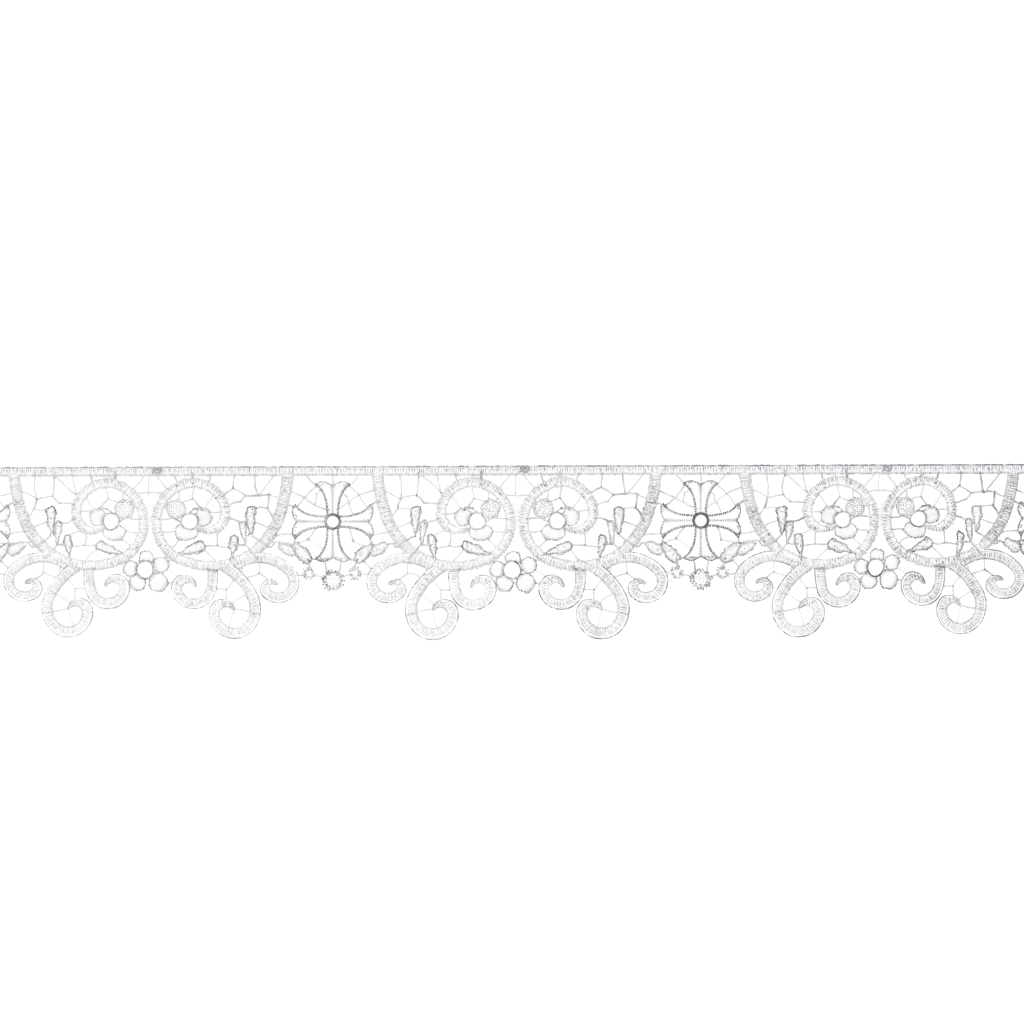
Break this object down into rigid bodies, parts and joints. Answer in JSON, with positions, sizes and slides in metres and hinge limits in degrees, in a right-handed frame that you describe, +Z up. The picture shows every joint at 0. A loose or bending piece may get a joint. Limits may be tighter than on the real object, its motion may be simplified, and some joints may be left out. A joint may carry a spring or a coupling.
{
  "type": "macrame lace edging",
  "caption": "Flat cut length of white openwork lace edging: a straight header tape over scrolled tapes, flowers, leaves and crosses joined by fine bars, for sewing along a hem.",
  "frame": {"origin": "on the surface under the middle of the edging's box, at z = 0 of its wrong side", "axes": "+X along the edging, +Y across it toward the straight header edge, +Z up out of the right side"},
  "size_m": [0.622, 0.0902, 0.0026],
  "materials": {
    "lace_thread": "white embroidery thread in dense satin stitch, matte with a faint sheen"
  },
  "bodies": {
    "root": {"lace_edging": "lace_thread"}
  },
  "joints": []
}
